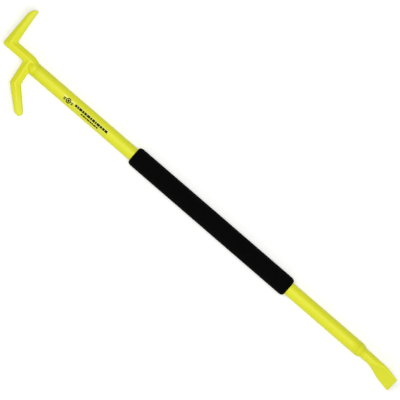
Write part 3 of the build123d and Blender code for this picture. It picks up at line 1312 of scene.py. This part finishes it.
@dataclass
class PryEnd:
    """Round bar forged flat into a bent pry blade, and the weld that closes the tube round it."""

    layout: Layout
    finishes: FinishRack
    rod_radius: float = 0.009525
    shank_length: float = 0.075
    neck_length: float = 0.0211
    bend_length: float = 0.024
    bend_angle: float = 15.6
    turn: float = 45.0
    width: float = 0.0352
    flare_start: float = 0.0085
    flare_length: float = 0.0335
    root_thickness: float = 0.0056
    edge_thickness: float = 0.0024
    corner_radius: float = 0.0025
    side_flat: float = 0.06
    edge_break: float = 0.0006
    tip_round: float = 0.0009
    tip_draw: float = 0.8
    dent_depth: float = 0.00016
    dent_spacing: float = 0.012
    merge_gap: float = 0.00001
    weld_length: float = 0.0125
    weld_sink: float = 0.0008
    weld_segments: int = 300
    bead_scale: float = 0.00013
    bead_pitch: float = 0.0022
    bead_bow: float = 1.6
    corner_steps: int = 16
    flat_steps: int = 18
    stations: int = 70

    def __post_init__(self) -> None:
        """Work out how far the blade runs beyond the start of the bend."""
        tilt = math.sin(math.radians(self.bend_angle))
        start = self.layout.tube_end + self.neck_length
        self.blade_run = self.layout.pry_tip - start - self.edge_thickness / 2 * tilt

    def ring(self, distance: float, draw_in: float = 0.0) -> Ring:
        """Draw a section of the blade, or of the round bar before it.

        Args:
            distance: how far beyond the start of the bend, or below zero before it.
            draw_in: how far every side comes in, to round the edge.

        Returns:
            The section's ring.
        """
        turned = math.radians(self.turn)
        across = Vector((0, math.cos(turned), math.sin(turned)))
        normal = Vector((0, -math.sin(turned), math.cos(turned)))
        bend = math.radians(self.bend_angle)
        bent = min(max(distance, 0.0), self.bend_length)
        slope = bend * bent / self.bend_length
        rise = math.tan(bend) * (bent * bent / (2 * self.bend_length) + max(distance, 0.0) - bent)
        flare = eased(min(max((distance - self.flare_start) / self.flare_length, 0.0), 1.0))
        half_width = self.rod_radius + (self.width / 2 - self.rod_radius) * flare
        into_corner = max(distance - self.blade_run + self.corner_radius, 0.0) / self.corner_radius
        half_width -= self.corner_radius * (1 - math.sqrt(max(1 - into_corner**2, 0.0)))
        half_thick = self.rod_radius + (self.root_thickness / 2 - self.rod_radius) * flare
        full_width_at = self.flare_start + self.flare_length
        beyond = max(distance - full_width_at, 0.0) / (self.blade_run - full_width_at)
        half_thick += (self.edge_thickness - self.root_thickness) / 2 * beyond
        corner = (1 - self.side_flat * flare) * half_thick
        centre = Vector((self.layout.tube_end + self.neck_length + distance, 0, self.layout.axis_height))
        centre += normal * rise
        lift = Vector((-math.sin(slope), 0, 0)) + normal * math.cos(slope)
        wide, thick, corner = half_width - draw_in, half_thick - draw_in, corner - draw_in
        ring = []
        for quarter, (side, face) in enumerate(((1, 1), (-1, 1), (-1, -1), (1, -1))):
            for step in range(self.corner_steps + 1):
                angle = math.pi / 2 * (quarter + step / self.corner_steps)
                u = side * (wide - corner) + corner * math.cos(angle)
                v = face * (thick - corner) + corner * math.sin(angle)
                ring.append(centre + across * u + lift * v)
            if quarter % 2 == 0:
                for step in range(1, self.flat_steps):
                    u = side * (wide - corner) * (1 - 2 * step / self.flat_steps)
                    ring.append(centre + across * u + lift * (face * thick))
        return ring

    def blade(self) -> None:
        """Make the shank, the neck and the blade as one forging."""
        shank_spans, end_steps = 20, 12
        corner_start = self.blade_run - self.corner_radius
        shank = -(self.neck_length + self.shank_length)
        rings = [self.ring(shank, self.edge_break), self.ring(shank + self.edge_break)]
        rings += [self.ring(shank * (1 - i / shank_spans)) for i in range(1, shank_spans)]
        rings += [self.ring(corner_start * i / self.stations) for i in range(self.stations + 1)]
        for step in range(1, end_steps + 1):
            distance = corner_start + self.corner_radius * math.sin(math.pi / 2 * step / end_steps)
            into_round = max(distance - self.blade_run + self.tip_round, 0.0) / self.tip_round
            draw_in = self.tip_draw * self.tip_round * (1 - math.sqrt(1 - into_round**2))
            rings.append(self.ring(distance, draw_in))
        rings = hammered(rings, self.dent_depth, self.dent_spacing, seed=7.1)
        piece = ring_mesh("pry_blade_forging", rings)
        merge_points(piece, self.merge_gap)
        self.finishes.dress(piece, Slot.POWDER_COAT)
        seat(piece, "pry_end")

    def scales(self, x: float, reach: float, angle: float) -> float:
        """Height of the weld's scales over the plain bead.

        Args:
            x: place along the shaft.
            reach: the plain bead's radius.
            angle: place round the shaft.

        Returns:
            The height, and none inside the bead or where it meets the tube.
        """
        share = (x - self.layout.tube_end) / self.weld_length
        plain_start = 0.02
        if reach < self.rod_radius - self.weld_sink / 2 or share <= plain_start:
            return 0.0
        fade = math.sin(math.pi * min(share, 1.0))
        bow = self.bead_bow * (share - 0.5) ** 2
        return self.bead_scale * fade * ripple(angle * self.layout.tube_radius / self.bead_pitch + bow)

    def weld(self) -> None:
        """Make the tapered bead from the tube's foot down to the bar, with its scales."""
        start, end = self.layout.tube_end, self.layout.tube_end + self.weld_length
        outer, inner = self.layout.tube_radius, self.rod_radius
        steps = 18
        crown = []
        for i in range(steps + 1):
            share = i / steps
            crown.append((start + self.weld_length * share, outer - (outer - inner) * eased(share)))
        inside = [(end, inner - self.weld_sink), (start, inner - self.weld_sink)]
        profile = crown + inside
        piece = revolved("pry_weld_bead", self.layout.axis_height, profile, self.weld_segments, self.scales)
        self.finishes.dress(piece, Slot.POWDER_COAT)
        seat(piece, "pry_weld")

    def build(self) -> None:
        """Make the pry end's pieces."""
        self.blade()
        self.weld()


# ---------------------------------------------------------------- studio


@dataclass(frozen=True)
class SoftBox:
    """A rectangular lamp that faces the middle of the tool."""

    name: str
    place: tuple[float, float, float]
    size: tuple[float, float]
    watts: float
    colour: Colour


@dataclass
class Studio:
    """Pale floor, soft light and the camera straight above the tool."""

    layout: Layout
    floor_size: float = 14.0
    floor_dark: Colour = (0.58, 0.58, 0.58)
    floor_pale: Colour = (0.60, 0.60, 0.60)
    floor_glow: float = 0.44
    sky: Colour = (0.95, 1.0, 0.98)
    sky_strength: float = 0.24
    boxes: tuple[SoftBox, ...] = (
        SoftBox("key_box", (0.0, -1.2, 1.4), (2.2, 1.4), 10.5, (1.0, 0.985, 0.95)),
        SoftBox("top_box", (0.0, 0.08, 1.9), (1.8, 0.9), 30.5, (1.0, 0.99, 0.96)),
    )
    view_width: float = 0.7052
    view_centre: tuple[float, float] = (-0.0128, 0.0158)
    view_turn: float = 40.79
    camera_distance: float = 9.0
    sensor: float = 36.0

    def floor(self) -> None:
        """Make the floor, with a faint unevenness in its tone."""
        bpy.ops.mesh.primitive_plane_add(size=self.floor_size, location=(0, 0, 0))
        ground = bpy.context.object
        ground.name = "studio_floor"
        graph = ShaderGraph("floor_white")
        graph.set(Specular_IOR_Level=0.1)
        graph.set(Emission_Color=(1.0, 1.0, 1.0, 1.0), Emission_Strength=self.floor_glow)
        tone = graph.noise(per_metre=1.5, detail=2.0)
        graph.feed("Base Color", graph.colours(tone, [(0.3, self.floor_dark), (0.7, self.floor_pale)]))
        graph.feed("Roughness", graph.remap(tone, 0.8, 0.9))
        ground.data.materials.append(graph.material)

    def lamp(self, box: SoftBox) -> None:
        """Hang a soft box.

        Args:
            box: the lamp to hang.
        """
        data = bpy.data.lights.new(box.name, "AREA")
        data.shape = "RECTANGLE"
        data.size, data.size_y = box.size
        data.energy = box.watts
        data.color = box.colour
        lamp = bpy.data.objects.new(box.name, data)
        lamp.location = box.place
        aim = Vector((0, 0, self.layout.axis_height)) - Vector(box.place)
        lamp.rotation_euler = aim.to_track_quat("-Z", "Y").to_euler()
        bpy.context.scene.collection.objects.link(lamp)

    def lights(self) -> None:
        """Light the room evenly, with soft boxes above the tool and on the claw's side."""
        world = bpy.data.worlds.new("studio_white")
        world.use_nodes = True
        background = world.node_tree.nodes["Background"]
        background.inputs["Color"].default_value = (*self.sky, 1.0)
        background.inputs["Strength"].default_value = self.sky_strength
        bpy.context.scene.world = world
        for box in self.boxes:
            self.lamp(box)

    def camera(self) -> None:
        """Look straight down, with the shaft running from upper left to lower right."""
        data = bpy.data.cameras.new("camera")
        data.sensor_width = self.sensor
        data.lens = self.sensor * self.camera_distance / self.view_width
        data.clip_end = 100.0
        camera = bpy.data.objects.new("camera", data)
        camera.location = (*self.view_centre, self.layout.axis_height + self.camera_distance)
        camera.rotation_euler = (0.0, 0.0, math.radians(self.view_turn))
        bpy.context.scene.collection.objects.link(camera)
        bpy.context.scene.camera = camera

    def build(self) -> None:
        """Set the whole studio up."""
        self.camera()
        self.floor()
        self.lights()
        bpy.context.scene.view_settings.view_transform = "Standard"


def main() -> None:
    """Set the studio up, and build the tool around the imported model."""
    logging.basicConfig(level=logging.INFO, format="%(name)s: %(message)s")
    layout = Layout.read()
    finishes = FinishRack()
    Studio(layout).build()
    for assembly in (
        Head(layout, finishes),
        Shaft(layout, finishes),
        Grip(layout, finishes),
        PryEnd(layout, finishes),
    ):
        assembly.build()


if __name__ == "__main__":
    main()
